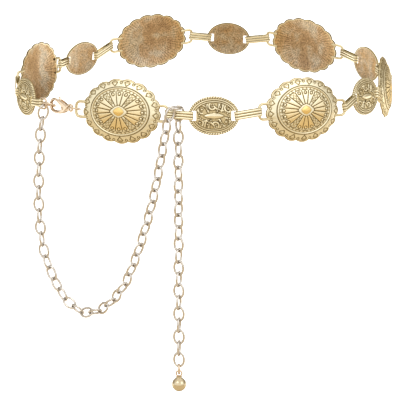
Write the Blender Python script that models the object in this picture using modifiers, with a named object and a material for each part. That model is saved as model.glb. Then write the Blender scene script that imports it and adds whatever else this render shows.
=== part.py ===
"""Gold concho chain belt, worn: twelve cast conchos in a ring, ribbed straps between them,
a lobster clasp at the wearer's right, and the free chain that hangs in a swag and a tail.

Metres, +Z up. The front of the belt faces -Y. The origin is the middle of the waist hollow,
at the height of the concho centres.
"""

import math

import bmesh
import bpy
from mathutils import Matrix, Vector

MM = 0.001
GAP = 0.3 * MM  # clearance between pieces that touch on the real belt

# Large concho: a scalloped oval dish with a raised ring, a boss and a wire loop at each end.
LARGE_WIDTH = 50.8 * MM
LARGE_HEIGHT = 38.4 * MM
LARGE_DOME = 3.0 * MM
LARGE_WALL = 1.4 * MM
SCALLOPS = 17
SCALLOP_DEPTH = 0.055  # share of the radius
LARGE_TURNS = 24
LOOP_WIRE = 0.8 * MM  # radius
LOOP_HALF_HEIGHT = 4.5 * MM
LOOP_BAR = LARGE_WIDTH / 2 + 4.4 * MM  # from the concho's centre to the loop's upright bar
LOOP_BACK = 0.5 * MM  # the loop's wire runs this far behind the rim plane

# Small concho: a plain oval with two slots, a raised ring and a lens-shaped bar.
SMALL_WIDTH = 29.6 * MM
SMALL_HEIGHT = 22.5 * MM
SMALL_DOME = 1.2 * MM
SMALL_WALL = 1.0 * MM
SMALL_TURNS = 24
SLOT_CENTRE = 11.2 * MM
SLOT_WIDTH = 3.0 * MM
SLOT_HEIGHT = 7.4 * MM
SLOT_FOLD = 13.6 * MM  # from the concho's centre to the middle of the rim the strap folds round
SLOT_FOLD_BACK = 0.3 * MM
LENS_LENGTH = 12.2 * MM
LENS_HEIGHT = 3.6 * MM
LENS_RISE = 0.9 * MM

# Ribbed strap: one closed band with three ribs, folded round a slot's rim and a loop's bar.
STRAP_HEIGHT = 4.8 * MM
STRAP_INSIDE = 1.45 * MM  # half the space inside the band
STRAP_VALLEY = 0.4 * MM
STRAP_RIB = 0.7 * MM
STRAP_FOLD_STEPS = 4
STRAP_PLAY = 0.5 * MM  # how far past the bar or rim each fold reaches

# Chain: oval wire links.
LINK_WIRE = 0.55 * MM
LINK_HALF_WIDTH = 3.0 * MM
LINK_PITCH = 7.4 * MM
LINK_BITE = 0.25 * MM  # how far a link's end wire lies past the joint where two links meet
LINK_CLEAR = 2 * GAP  # between the wires of two links that hang in one another, node to node
LINK_CORNERS = 8
LINKS_PER_NODE = 10
SWAG_FIRST_TWIST = -17  # degrees off face on, of the link in the end ring
SWAG_TWIST = 45  # degrees that the swag has twisted in all, from its 12th link over six links
SWAG_TWIST_FROM = 11
SWAG_TWIST_LINKS = 6
TAIL_LINKS = 21
TAIL_PITCH = 7.17 * MM  # the tail's links hang closer than the swag's
TAIL_TWIST = 65  # degrees off at the tail's top, none from its 12th link down
TAIL_TWIST_LINKS = 12

# Ring of conchos, front to wearer's left, back, wearer's right. bearing is measured from the
# front, turn is how far a concho faces off its bearing, roll how far its right end is raised
# and lean how far its top leans in towards the waist, all in degrees; radius and rise are in mm.
RING = (
    # name, kind, bearing, radius, turn, roll, rise, lean
    ("large_concho_1", "large", -26.8, 111.8, 2.5, 2.0, -0.2, 7.5),
    ("small_concho_1", "small", 1.8, 115.0, 1.0, -0.5, 0.5, 7.5),
    ("large_concho_2", "large", 31.2, 108.3, -1.2, -3.4, -0.7, 7.5),
    ("small_concho_2", "small", 60.7, 110.2, -5.0, -3.2, -0.8, 7.5),
    ("large_concho_3", "large", 90.2, 112.8, -12.0, -1.0, -6.0, 6.5),
    ("small_concho_3", "small", 117.8, 119.7, 0.5, 5.5, -2.0, 1.5),
    ("large_concho_4", "large", 145.2, 117.1, 1.0, 4.0, 3.2, 7.5),
    ("small_concho_4", "small", 172.8, 121.8, 1.0, 2.5, 3.4, 7.5),
    ("large_concho_5", "large", 200.1, 110.0, 3.0, -2.7, 5.0, 7.5),
    ("small_concho_5", "small", 230.5, 108.3, -2.5, 0.0, -0.7, 7.5),
    ("large_concho_6", "large", 260.2, 109.6, -12.8, 0.5, 0.0, -2.5),
    ("small_concho_6", "small", 288.7, 118.0, 8.0, -3.0, -4.4, 5.0),
)

# The free chain's swag, seen along the upright plane between its two ends: share of the way
# across, and height in mm.
SWAG = (
    (-0.036, -23.0),
    (-0.060, -52.0),
    (-0.062, -75.0),
    (-0.030, -97.0),
    (0.030, -110.0),
    (0.112, -121.5),
    (0.220, -129.0),
    (0.350, -130.5),
    (0.500, -123.0),
    (0.634, -109.0),
    (0.712, -95.0),
    (0.798, -75.0),
    (0.884, -50.0),
    (0.942, -27.0),
)

# Where the chain goes over the first strap: along it from the loop's bar, inwards and up, mm.
OVER = (
    (1.8, -5.6, -3.2),
    (4.0, -4.8, 3.9),
    (5.6, 3.1, 4.0),
    (5.4, 3.7, -3.1),
)
OVER_ROLLS = (54, 0, -5)  # each link's turn about its own length, degrees

# Closing hardware, along the line from the last concho's fold to the first concho's loop bar.
END_STRAP = 7.3 * MM
END_RING_WIRE = 0.65 * MM
END_RING_BOW = 6.6 * MM  # from the ring's bar to its bow
SWAG_HANG = (END_STRAP + 4.2 * MM, -1.9 * MM)  # where the swag's first link hangs in the ring
HELD_LINK_TIP = 70  # degrees that the held link lies back
CLASP_WIRE = 0.9 * MM
CLASP_THICK = 3.2 * MM
CLASP_BOW = 19.55 * MM  # the middle of the claw's wire at its bow
CLASP_PIVOT = (CLASP_BOW + 14.2 * MM, -1.0 * MM)
CLASP_EYE = CLASP_BOW + 21.2 * MM
CLASP_SLOT = (CLASP_BOW + 6.5 * MM, CLASP_BOW + 16.2 * MM, -3.0 * MM, 8 * MM)  # left to right, up
EYE_RADIUS = 1.9 * MM
EYE_WIRE = 0.7 * MM
RIVET_RADIUS = 0.8 * MM
LEVER_THICK = 1.2 * MM
CLASP_RING_WIRE = 0.6 * MM
CLASP_RING_HALF_WIDTH = 3.2 * MM
CLASP_RING_TIP = 80  # degrees that the clasp ring lies back

# Ball drop on the chain's end.
DROP_LINK_HALF_LENGTH = 2.6 * MM
DROP_LINK_HALF_WIDTH = 2.0 * MM
BALL_RADIUS = 4.3 * MM
COLLAR_RADIUS = 1.8 * MM
COLLAR_HEIGHT = 0.8 * MM
DROP_EYE_RADIUS = 1.7 * MM
DROP_EYE_WIRE = 0.5 * MM

GOLD = (0.83, 0.62, 0.27, 1)
ROSE_GOLD = (0.86, 0.62, 0.40, 1)


def clear_scene():
    for obj in list(bpy.data.objects):
        bpy.data.objects.remove(obj)


def new_collection(name):
    made = bpy.data.collections.new(name)
    bpy.context.scene.collection.children.link(made)
    return made


def metal(name, colour, roughness):
    made = bpy.data.materials.new(name)
    made.use_nodes = True
    surface = made.node_tree.nodes["Principled BSDF"]
    surface.inputs["Base Color"].default_value = colour
    surface.inputs["Metallic"].default_value = 1.0
    surface.inputs["Roughness"].default_value = roughness
    return made


def helper(name, mesh):
    """An object that only helps to make another: it is left out of the belt."""
    obj = bpy.data.objects.new(name, mesh)
    helpers.objects.link(obj)
    obj.hide_render = True
    obj.display_type = "WIRE"
    return obj


def evaluated_mesh(obj):
    """The object's shape with its modifiers, as a mesh in the object's own space, welded."""
    bpy.context.view_layer.update()
    graph = bpy.context.evaluated_depsgraph_get()
    mesh = bpy.data.meshes.new_from_object(obj.evaluated_get(graph))
    work = bmesh.new()
    work.from_mesh(mesh)
    bmesh.ops.remove_doubles(work, verts=work.verts, dist=0.001 * MM)
    bmesh.ops.recalc_face_normals(work, faces=work.faces)
    work.to_mesh(mesh)
    work.free()
    return mesh


def turned(name, profile, steps):
    """A mesh turned about Z from (radius, height) pairs that start and end on the axis."""
    mesh = bpy.data.meshes.new(name)
    points = [(radius, 0, height) for radius, height in profile]
    edges = [(i, i + 1) for i in range(len(points) - 1)]
    mesh.from_pydata(points, edges, [])
    obj = helper(name, mesh)
    screw = obj.modifiers.new("Turn", "SCREW")
    screw.steps = steps
    screw.render_steps = steps
    screw.use_merge_vertices = True
    screw.merge_threshold = 0.00001
    made = evaluated_mesh(obj)
    bpy.data.objects.remove(obj)
    return made


def curve_mesh(name, points, closed, **settings):
    """A mesh from one POLY spline through the points, with the given curve settings."""
    curve = bpy.data.curves.new(name, "CURVE")
    spline = curve.splines.new("POLY")
    spline.points.add(len(points) - 1)
    for place, point in zip(spline.points, points):
        place.co = (*point, 1) if len(point) == 3 else (*point, 0, 1)
    spline.use_cyclic_u = closed
    for key, value in settings.items():
        setattr(curve, key, value)
    obj = helper(name, curve)
    mesh = evaluated_mesh(obj)
    bpy.data.objects.remove(obj)
    return mesh


def wire(name, points, radius, closed, sides=6):
    """A round wire along the points."""
    return curve_mesh(
        name,
        points,
        closed,
        dimensions="3D",
        bevel_depth=radius,
        bevel_resolution=sides // 2 - 2,
        use_fill_caps=not closed,
    )


def plate(name, outline, thickness):
    """A flat plate with this outline, its middle plane at height 0."""
    return curve_mesh(
        name, outline, True, dimensions="2D", fill_mode="BOTH", extrude=thickness / 2
    )


def combine(name, base, steps):
    """The base mesh with each (operation, mesh) done in turn by a Boolean."""
    obj = helper(name, base)
    others = []
    for operation, mesh in steps:
        other = helper(f"{name}_{len(others)}", mesh)
        boolean = obj.modifiers.new(operation.title(), "BOOLEAN")
        boolean.operation = operation
        boolean.object = other
        others.append(other)
    made = evaluated_mesh(obj)
    for other in (obj, *others):
        bpy.data.objects.remove(other)
    return made


def place(name, mesh, matrix, material):
    obj = bpy.data.objects.new(name, mesh)
    belt.objects.link(obj)
    obj.location = matrix.to_translation()
    obj.rotation_euler = matrix.to_euler()
    if not mesh.materials:
        mesh.materials.append(material)
    mesh.shade_smooth()
    mesh.set_sharp_from_angle(angle=math.radians(40))
    return obj


def axes(origin, along, up):
    """A frame at the origin with X along, Z as near up as it can be, and Y across."""
    x = along.normalized()
    y = up.cross(x).normalized()
    z = x.cross(y)
    frame = Matrix((x, y, z)).transposed().to_4x4()
    frame.translation = origin
    return frame


def oval(half_length, half_width, corners, start=0.0):
    turns = [start + 2 * math.pi * i / corners for i in range(corners)]
    return [(half_length * math.cos(a), half_width * math.sin(a), 0) for a in turns]


def dish_height(dome, share):
    return dome * (1 - share * share)


def scalloped_outline():
    """Seventeen round lobes on an oval, a lobe's crown at the bottom."""
    points = []
    for lobe in range(SCALLOPS):
        for part in (-0.5, -0.25, 0.0, 0.25):
            turn = -math.pi / 2 + 2 * math.pi * (lobe + part) / SCALLOPS
            share = 1 - SCALLOP_DEPTH * (2 * part) ** 2
            x = LARGE_WIDTH / 2 * share * math.cos(turn)
            y = LARGE_HEIGHT / 2 * share * math.sin(turn)
            points.append((x, y))
    return points


def end_loop(side):
    """The wire loop cast on one end of a large concho."""
    corner = 1.6 * MM
    start = LARGE_WIDTH / 2 - 3.5 * MM
    half = [
        (start, LOOP_HALF_HEIGHT),
        (LOOP_BAR - corner, LOOP_HALF_HEIGHT),
        (LOOP_BAR - 0.3 * corner, LOOP_HALF_HEIGHT - 0.3 * corner),
        (LOOP_BAR, LOOP_HALF_HEIGHT - corner),
    ]
    path = half + [(x, -y) for x, y in reversed(half)]
    points = [(side * x, y, -LOOP_BACK) for x, y in path]
    return wire("loop", points, LOOP_WIRE, False)


def large_concho_mesh():
    radius = LARGE_WIDTH / 2
    # share of the radius, height added to the dish
    front = ((0, 0.9), (0.13, 0.1), (0.69, 0), (0.725, 0.5), (0.76, 0), (1.1, 0))
    back = ((1.1, 0), (0.55, 0), (0, 0))
    profile = [(s * radius, dish_height(LARGE_DOME, s) + h * MM) for s, h in front]
    profile += [(s * radius, dish_height(LARGE_DOME, s) - LARGE_WALL) for s, h in back]
    dish = turned("dish", profile, LARGE_TURNS)
    dish.transform(Matrix.Diagonal((1, LARGE_HEIGHT / LARGE_WIDTH, 1, 1)))
    punch = plate("punch", scalloped_outline(), 20 * MM)
    loops = [("UNION", end_loop(1)), ("UNION", end_loop(-1))]
    return combine("large_concho", dish, [("INTERSECT", punch), *loops])


def slot_cutter(side):
    work = bmesh.new()
    bmesh.ops.create_cube(work, size=1)
    for vertex in work.verts:
        vertex.co.x = vertex.co.x * SLOT_WIDTH + side * SLOT_CENTRE
        vertex.co.y *= SLOT_HEIGHT
        vertex.co.z *= 10 * MM
    mesh = bpy.data.meshes.new("slot")
    work.to_mesh(mesh)
    work.free()
    return mesh


def lens_mesh():
    """The raised bar across a small concho: a flattened, pointed bead."""
    half = LENS_LENGTH / 2
    shares = (1, 0.6, 0, -0.6, -1)
    profile = [((1 - s * s) ** 0.7 * LENS_HEIGHT / 2, s * half) for s in shares]
    mesh = turned("lens", profile, 8)
    flat = Matrix.Diagonal((LENS_RISE / (LENS_HEIGHT / 2), 1, 1, 1))
    lift = Matrix.Translation((0, 0, SMALL_DOME))
    mesh.transform(lift @ Matrix.Rotation(math.pi / 2, 4, "Y") @ flat)
    return mesh


def small_concho_mesh():
    radius = SMALL_WIDTH / 2
    front = ((0, 0), (0.79, 0), (0.84, 0.25), (0.88, 0), (1, 0))
    back = ((1, 0), (0, 0))
    profile = [(s * radius, dish_height(SMALL_DOME, s) + h * MM) for s, h in front]
    profile += [(s * radius, dish_height(SMALL_DOME, s) - SMALL_WALL) for s, h in back]
    dish = turned("dish", profile, SMALL_TURNS)
    dish.transform(Matrix.Diagonal((1, SMALL_HEIGHT / SMALL_WIDTH, 1, 1)))
    slots = [("DIFFERENCE", slot_cutter(1)), ("DIFFERENCE", slot_cutter(-1))]
    return combine("small_concho", dish, [("UNION", lens_mesh()), *slots])


def strap_mesh(left, right):
    """A closed band round what it holds at left and right on X. Y is its thickness."""
    half = STRAP_HEIGHT / 2
    section = [(0, -half), (0, half)]
    for i in range(7):
        thick = STRAP_RIB if i % 2 else STRAP_VALLEY
        section.append((-thick, half * (1 - i / 3)))
    profile = bpy.data.curves.new("ribs", "CURVE")
    spline = profile.splines.new("POLY")
    spline.points.add(len(section) - 1)
    for point, place_of in zip(spline.points, section):
        point.co = (*place_of, 0, 1)
    spline.use_cyclic_u = True
    ribs = helper("ribs", profile)
    path = []
    folds = ((right + STRAP_PLAY, -math.pi / 2), (left - STRAP_PLAY, math.pi / 2))
    for centre, start in folds:
        for i in range(STRAP_FOLD_STEPS + 1):
            turn = start + math.pi * i / STRAP_FOLD_STEPS
            x = centre + STRAP_INSIDE * math.cos(turn)
            path.append((x, STRAP_INSIDE * math.sin(turn)))
    mesh = curve_mesh("strap", path, True, dimensions="2D", bevel_mode="OBJECT", bevel_object=ribs)
    bpy.data.objects.remove(ribs)
    return mesh


def concho_frames():
    """Each concho's frame: X along the belt, Y up the concho, Z out of its face."""
    frames = {}
    for name, _, bearing, radius, turn, roll, rise, lean in RING:
        around = math.radians(bearing)
        out = Vector((math.sin(around), -math.cos(around), 0))
        centre = out * radius * MM + Vector((0, 0, rise * MM))
        facing = Matrix.Rotation(math.radians(bearing + turn), 4, "Z")
        tilt = Matrix.Rotation(math.radians(90 - lean), 4, "X")
        rolled = Matrix.Rotation(math.radians(roll), 4, "Z")
        frames[name] = Matrix.Translation(centre) @ facing @ tilt @ rolled
    return frames


def fold_point(frame, kind, side):
    """Where a strap folds on this concho's left (-1) or right (1) end."""
    if kind == "large":
        return frame @ Vector((side * LOOP_BAR, 0, -LOOP_BACK))
    return frame @ Vector((side * SLOT_FOLD, 0, -SLOT_FOLD_BACK))


def build_conchos(frames):
    meshes = {"large": large_concho_mesh(), "small": small_concho_mesh()}
    for name, kind, *_ in RING:
        place(name, meshes[kind], frames[name], gold)


def build_straps(frames):
    """One strap in each gap, from fold to fold. Returns the first strap's frame."""
    first = None
    for number in range(1, len(RING)):
        before = RING[number - 1]
        after = RING[number]
        start = fold_point(frames[before[0]], before[1], 1)
        end = fold_point(frames[after[0]], after[1], -1)
        up = frames[before[0]].col[1].to_3d() + frames[after[0]].col[1].to_3d()
        frame = axes(start, end - start, up)
        place(f"strap_{number}", strap_mesh(0, (end - start).length), frame, gold)
        first = first or frame
    return first


def ring_outline():
    """The D ring in the end strap's fold: a straight bar at its left, a bow at its right."""
    bar = END_STRAP
    half = [
        (bar, 2.5 * MM),
        (bar + 0.5 * MM, 3.0 * MM),
        (bar + 1.4 * MM, 3.2 * MM),
        (bar + 4.4 * MM, 3.2 * MM),
        (bar + 5.8 * MM, 2.4 * MM),
        (bar + END_RING_BOW, 1.1 * MM),
    ]
    return [(x, y, 0) for x, y in half] + [(x, -y, 0) for x, y in reversed(half)]


def clasp_body_mesh():
    """Claw, two cheeks with a slot for the lever, rivet and eye. X runs from claw to eye."""
    bow = CLASP_BOW
    # Both in mm, along from the bow and up: the claw's wire from its tip, and the cheeks' outline.
    claw = (
        (5.2, 3.6), (3.2, 3.7), (1.3, 2.9), (0.1, 1.3), (0, -0.9),
        (1.1, -2.6), (3.6, -3.5), (7.6, -3.7), (12.0, -3.4),
    )
    cheek = (
        (8.6, 4.0), (10.0, 4.0), (18.2, 1.1), (19.2, 0.5), (19.2, -0.5), (18.2, -1.2),
        (15.2, -3.4), (12.0, -4.2), (9.5, -4.3), (9.5, -3.0), (12.2, -2.1), (12.7, -0.7),
        (9.5, 2.2),
    )
    hook = wire("hook", [(bow + x * MM, y * MM, 0) for x, y in claw], CLASP_WIRE, False)
    cheeks = plate("cheeks", [(bow + x * MM, y * MM) for x, y in cheek], CLASP_THICK)
    left, right, low, high = CLASP_SLOT
    corners = [(left, low), (right, low), (right, high), (left, high)]
    slot = plate("slot", corners, LEVER_THICK + 2 * GAP)
    pivot = Vector((*CLASP_PIVOT, 0))
    reach = Vector((0, 0, CLASP_THICK / 2 + 0.2 * MM))
    rivet = wire("rivet", [pivot - reach, pivot + reach], RIVET_RADIUS, False, 8)
    eye = wire("eye", oval(EYE_RADIUS, EYE_RADIUS, 10), EYE_WIRE, True)
    eye.transform(Matrix.Translation((CLASP_EYE, 0, 0)))
    steps = [("DIFFERENCE", slot), ("UNION", hook), ("UNION", rivet), ("UNION", eye)]
    return combine("clasp_body", cheeks, steps)


def clasp_lever_mesh():
    """The gate, its pivot disc and the thumb tab, about the rivet as origin."""
    outline = (
        (0, -1.7), (1.2, -1.2), (1.7, 0), (1.2, 1.2), (0.2, 1.8), (-3.7, 2.7), (-4.7, 6.4),
        (-6.0, 6.7), (-5.5, 3.7), (-7.8, 4.9), (-8.5, 3.6), (-2.0, 0.3), (-1.7, -0.2),
        (-1.2, -1.2),
    )
    lever = plate("lever", [(x * MM, y * MM) for x, y in outline], LEVER_THICK)
    clear = (RIVET_RADIUS + GAP) / math.cos(math.pi / 8)
    hole = wire("hole", [(0, 0, -2 * MM), (0, 0, 2 * MM)], clear, False, 8)
    return combine("clasp_lever", lever, [("DIFFERENCE", hole)])


def build_clasp(frames):
    """End strap, end ring, held link, clasp and clasp ring. Returns the closing frame."""
    start = fold_point(frames["small_concho_6"], "small", 1)
    end = fold_point(frames["large_concho_1"], "large", -1)
    up = frames["small_concho_6"].col[1].to_3d() + frames["large_concho_1"].col[1].to_3d()
    line = axes(start, end - start, up)
    place("end_strap", strap_mesh(0, END_STRAP), line, gold)

    # From here on X still runs along the line, Y is up and Z faces out.
    face = line @ Matrix.Rotation(math.pi / 2, 4, "X")
    place("end_ring", wire("end_ring", ring_outline(), END_RING_WIRE, True), face, rose_gold)

    left_wire = END_STRAP + END_RING_BOW - END_RING_WIRE - GAP - LINK_WIRE
    right_wire = CLASP_BOW + CLASP_WIRE + LINK_CLEAR + LINK_WIRE
    held = oval((right_wire - left_wire) / 2, LINK_HALF_WIDTH, LINK_CORNERS)
    held_frame = face @ Matrix.Translation(((left_wire + right_wire) / 2, 0, 0))
    tipped = held_frame @ Matrix.Rotation(math.radians(HELD_LINK_TIP), 4, "X")
    place("held_link", wire("held_link", held, LINK_WIRE, True), tipped, rose_gold)

    place("clasp_body", clasp_body_mesh(), face, rose_gold)
    pivot = face @ Matrix.Translation((*CLASP_PIVOT, 0))
    place("clasp_lever", clasp_lever_mesh(), pivot, rose_gold)

    eye_wire = CLASP_EYE + EYE_RADIUS - EYE_WIRE - GAP - CLASP_RING_WIRE
    bar_wire = (end - start).length + LOOP_WIRE + GAP + CLASP_RING_WIRE
    ring = oval((bar_wire - eye_wire) / 2, CLASP_RING_HALF_WIDTH, LINK_CORNERS)
    ring_frame = face @ Matrix.Translation(((eye_wire + bar_wire) / 2, 0, 0))
    level = ring_frame @ Matrix.Rotation(math.radians(CLASP_RING_TIP), 4, "X")
    place("clasp_ring", wire("clasp_ring", ring, CLASP_RING_WIRE, True), level, rose_gold)
    return face


def smooth_route(points, steps):
    """Points along a Catmull-Rom curve through the given ones."""
    ends = [2 * points[0] - points[1], *points, 2 * points[-1] - points[-2]]
    route = []
    for a, b, c, d in zip(ends, ends[1:], ends[2:], ends[3:]):
        for i in range(steps):
            t = i / steps
            route.append(
                0.5 * (2 * b + (c - a) * t + (2 * a - 5 * b + 4 * c - d) * t**2
                       + (3 * b - a - 3 * c + d) * t**3)
            )
    return [*route, points[-1]]


def even_joints(route, count):
    """count + 1 points spaced evenly along the route."""
    lengths = [(b - a).length for a, b in zip(route, route[1:])]
    pitch = sum(lengths) / count
    joints = [route[0]]
    travelled = 0.0
    for a, b, length in zip(route, route[1:], lengths):
        while len(joints) < count and travelled + length >= len(joints) * pitch:
            joints.append(a.lerp(b, (len(joints) * pitch - travelled) / length))
        travelled += length
    return [*joints, route[-1]]


def link_bodies(joints, rolls, facing, first_reach=LINK_BITE, last_reach=LINK_BITE):
    """Two meshes, of every other link each: one link in each gap between joints."""
    halves = [bmesh.new(), bmesh.new()]
    last = len(joints) - 2
    for i, (start, end) in enumerate(zip(joints, joints[1:])):
        before = first_reach if i == 0 else LINK_BITE
        after = last_reach if i == last else LINK_BITE
        along = (end - start).normalized()
        half_length = ((end - start).length + before + after) / 2
        middle = (start + end) / 2 + along * (after - before) / 2
        mesh = wire("link", oval(half_length, LINK_HALF_WIDTH, LINK_CORNERS), LINK_WIRE, True, 4)
        frame = axes(middle, along, facing[i]) @ Matrix.Rotation(math.radians(rolls[i]), 4, "X")
        mesh.transform(frame)
        halves[i % 2].from_mesh(mesh)
        bpy.data.meshes.remove(mesh)
    meshes = []
    for half in halves:
        mesh = bpy.data.meshes.new("links")
        half.to_mesh(mesh)
        half.free()
        meshes.append(mesh)
    return meshes


def place_links(name, joints, rolls, facing, **reaches):
    base, other = link_bodies(joints, rolls, facing, **reaches)
    place(name, combine(name, base, [("UNION", other)]), Matrix(), rose_gold)


def swag_rolls(count):
    """Links alternate face on and edge on, then twist before the lowest point."""
    shares = [min(1.0, max(0.0, (i - SWAG_TWIST_FROM) / SWAG_TWIST_LINKS)) for i in range(count)]
    twists = [SWAG_TWIST * share for share in shares]
    twists[0] = SWAG_FIRST_TWIST
    return [90 * (i % 2) + twist for i, twist in enumerate(twists)]


def tail_rolls():
    shares = [max(0.0, 1 - i / TAIL_TWIST_LINKS) for i in range(TAIL_LINKS)]
    return [90 * (i % 2) + TAIL_TWIST * share for i, share in enumerate(shares)]


def build_chain(face, strap):
    """The swag from the end ring to the first strap, the links over it, and the tail."""
    front = Vector((0, -1, 0))
    over = [strap @ (Vector(point) * MM) for point in OVER]
    hang = face @ Vector((*SWAG_HANG, 0))
    across = Vector((over[0].x - hang.x, over[0].y - hang.y, 0))
    level = Vector((hang.x, hang.y, 0))
    route = [hang]
    route += [level + across * share + Vector((0, 0, height * MM)) for share, height in SWAG]
    route += [over[0]]
    route = smooth_route(route, 12)
    length = sum((b - a).length for a, b in zip(route, route[1:]))
    count = round(length / LINK_PITCH)
    joints = even_joints(route, count)
    rolls = swag_rolls(count)
    linked = LINK_CLEAR + 2 * LINK_WIRE - LINK_BITE
    nodes = math.ceil(count / LINKS_PER_NODE)
    for number in range(nodes):
        low = number * LINKS_PER_NODE
        high = min(count, low + LINKS_PER_NODE)
        place_links(
            f"chain_swag_{number + 1}",
            joints[low : high + 1],
            rolls[low:high],
            [front] * (high - low),
            last_reach=linked,
        )
    up = Vector((0, 0, 1))
    out = -strap.col[1].to_3d()
    place_links("chain_over", over, OVER_ROLLS, [out, up, out], last_reach=linked)

    top = over[-1]
    tail = [top - up * TAIL_PITCH * i for i in range(TAIL_LINKS + 1)]
    rolls = tail_rolls()
    for number, (low, high) in enumerate(((0, LINKS_PER_NODE), (LINKS_PER_NODE, TAIL_LINKS))):
        place_links(
            f"chain_tail_{number + 1}",
            tail[low : high + 1],
            rolls[low:high],
            [front] * (high - low),
            last_reach=linked,
        )
    return tail[-1]


def build_drop(joint):
    """The last small link, edge on, and the ball on its eye. The ball swings about that link."""
    top_wire = joint.z + LINK_BITE
    centre = Vector((joint.x, joint.y, top_wire - DROP_LINK_HALF_LENGTH))
    edge_on = axes(centre, Vector((0, 0, -1)), Vector((1, 0, 0)))
    outline = oval(DROP_LINK_HALF_LENGTH, DROP_LINK_HALF_WIDTH, LINK_CORNERS)
    link = wire("drop_link", outline, LINK_WIRE, True)
    place("drop_link", link, edge_on, rose_gold)

    pivot = Vector((joint.x, joint.y, top_wire - 2 * DROP_LINK_HALF_LENGTH))
    hang = DROP_EYE_RADIUS - DROP_EYE_WIRE - LINK_WIRE - GAP
    eye = wire("drop_eye", oval(DROP_EYE_RADIUS, DROP_EYE_RADIUS, 10), DROP_EYE_WIRE, True)
    eye.transform(Matrix.Translation((0, 0, -hang)) @ Matrix.Rotation(math.pi / 2, 4, "X"))
    collar_top = -hang - DROP_EYE_RADIUS
    ball_centre = collar_top - COLLAR_HEIGHT - BALL_RADIUS
    # Collar and ball in one turned profile, radius and height, top to bottom.
    profile = [(0, collar_top), (COLLAR_RADIUS, collar_top)]
    for i in range(2, 9):
        turn = math.pi * i / 8
        profile.append((BALL_RADIUS * math.sin(turn), ball_centre + BALL_RADIUS * math.cos(turn)))
    neck = math.sqrt(BALL_RADIUS**2 - COLLAR_RADIUS**2)
    profile.insert(2, (COLLAR_RADIUS, ball_centre + neck))
    profile[-1] = (0, ball_centre - BALL_RADIUS)
    ball = turned("ball", profile, 16)
    mesh = combine("ball_drop", ball, [("UNION", eye)])
    place("ball_drop", mesh, Matrix.Translation(pivot), rose_gold)


clear_scene()
belt = new_collection("concho_chain_belt")
helpers = new_collection("helpers")
gold = metal("antique_gold", GOLD, 0.35)
rose_gold = metal("polished_pale_gold", ROSE_GOLD, 0.2)

frames = concho_frames()
build_conchos(frames)
first_strap = build_straps(frames)
closing = build_clasp(frames)
chain_end = build_chain(closing, first_strap)
build_drop(chain_end)
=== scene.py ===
"""Looks of the gold concho chain belt: cast conchos, ribbed straps, clasp, chain and ball drop.

Metres, +Z up. The front of the belt faces -Y and the middle of the waist hollow is the origin.
"""

import math

import bmesh
import bpy
import numpy as np
from mathutils import Matrix, Vector


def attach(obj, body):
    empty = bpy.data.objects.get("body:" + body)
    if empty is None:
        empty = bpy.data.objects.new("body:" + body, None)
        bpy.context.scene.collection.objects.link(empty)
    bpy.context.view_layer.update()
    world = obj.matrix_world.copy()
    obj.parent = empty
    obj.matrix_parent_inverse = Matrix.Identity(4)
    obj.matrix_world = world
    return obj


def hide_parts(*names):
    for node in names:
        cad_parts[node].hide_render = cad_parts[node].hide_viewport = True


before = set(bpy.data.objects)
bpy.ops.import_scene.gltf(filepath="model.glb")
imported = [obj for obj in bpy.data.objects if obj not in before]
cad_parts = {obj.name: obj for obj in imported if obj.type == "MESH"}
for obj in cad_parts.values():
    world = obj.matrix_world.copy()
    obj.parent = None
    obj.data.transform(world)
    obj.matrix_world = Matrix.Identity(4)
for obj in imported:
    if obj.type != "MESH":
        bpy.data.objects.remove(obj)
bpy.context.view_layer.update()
MM = 0.001

# Large conchos. Six oval plates cast in zinc alloy from a hand-stamped master: seventeen lobes
# with a mark in each, a raised band and a wheel of petals round a pointed boss. Yellow gold plate,
# antiqued so that the stamped lines stay brown. A wire loop is cast on each end for the straps.

RING = (
    # name, kind, bearing from the front, radius mm, turn, roll, rise mm, lean; angles in degrees
    ("large_concho_1", "large", -26.8, 111.8, 2.5, 2.0, -0.2, 7.5),
    ("small_concho_1", "small", 1.8, 115.0, 1.0, -0.5, 0.5, 7.5),
    ("large_concho_2", "large", 31.2, 108.3, -1.2, -3.4, -0.7, 7.5),
    ("small_concho_2", "small", 60.7, 110.2, -5.0, -3.2, -0.8, 7.5),
    ("large_concho_3", "large", 90.2, 112.8, -12.0, -1.0, -6.0, 6.5),
    ("small_concho_3", "small", 117.8, 119.7, 0.5, 5.5, -2.0, 1.5),
    ("large_concho_4", "large", 145.2, 117.1, 1.0, 4.0, 3.2, 7.5),
    ("small_concho_4", "small", 172.8, 121.8, 1.0, 2.5, 3.4, 7.5),
    ("large_concho_5", "large", 200.1, 110.0, 3.0, -2.7, 5.0, 7.5),
    ("small_concho_5", "small", 230.5, 108.3, -2.5, 0.0, -0.7, 7.5),
    ("large_concho_6", "large", 260.2, 109.6, -12.8, 0.5, 0.0, -2.5),
    ("small_concho_6", "small", 288.7, 118.0, 8.0, -3.0, -4.4, 5.0),
)
LARGE_WIDTH = 50.8 * MM
LARGE_HEIGHT = 38.4 * MM
LARGE_DOME = 4.0 * MM
LARGE_WALL = 1.3 * MM
LOBES = 17
LOBE_DEPTH = 0.055  # share of the radius
MARK_POINT = 4.3 * MM  # in from the edge
MARK_LENGTH = 3.1 * MM
MARK_HALF_WIDTH = 1.85 * MM
RINGLET_INSET = 1.95 * MM
RINGLET_RADIUS = 0.76 * MM
BAND = 0.718  # this and the next are shares of the radius
WHEEL = 0.615
SECTORS = 20
LADDERS = (2, 8, 12, 18)  # counted from the top petal; the other sectors are petals
LADDER_FOOT = 0.27
LADDER_STEP = 0.113
PETAL_RING_RADIUS = 0.92 * MM
FIELD = (5.8 * MM, 3.7 * MM)  # half its width and half its height
BOSS = (3.4 * MM, 2.5 * MM)
BACK_RAYS = 64
RIM = 0.925  # share of the radius; outside it the back is plated like the front
LOOP_WIRE = 0.85 * MM
LOOP_HALF_HEIGHT = 4.5 * MM
LOOP_BAR = 29.8 * MM
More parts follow.
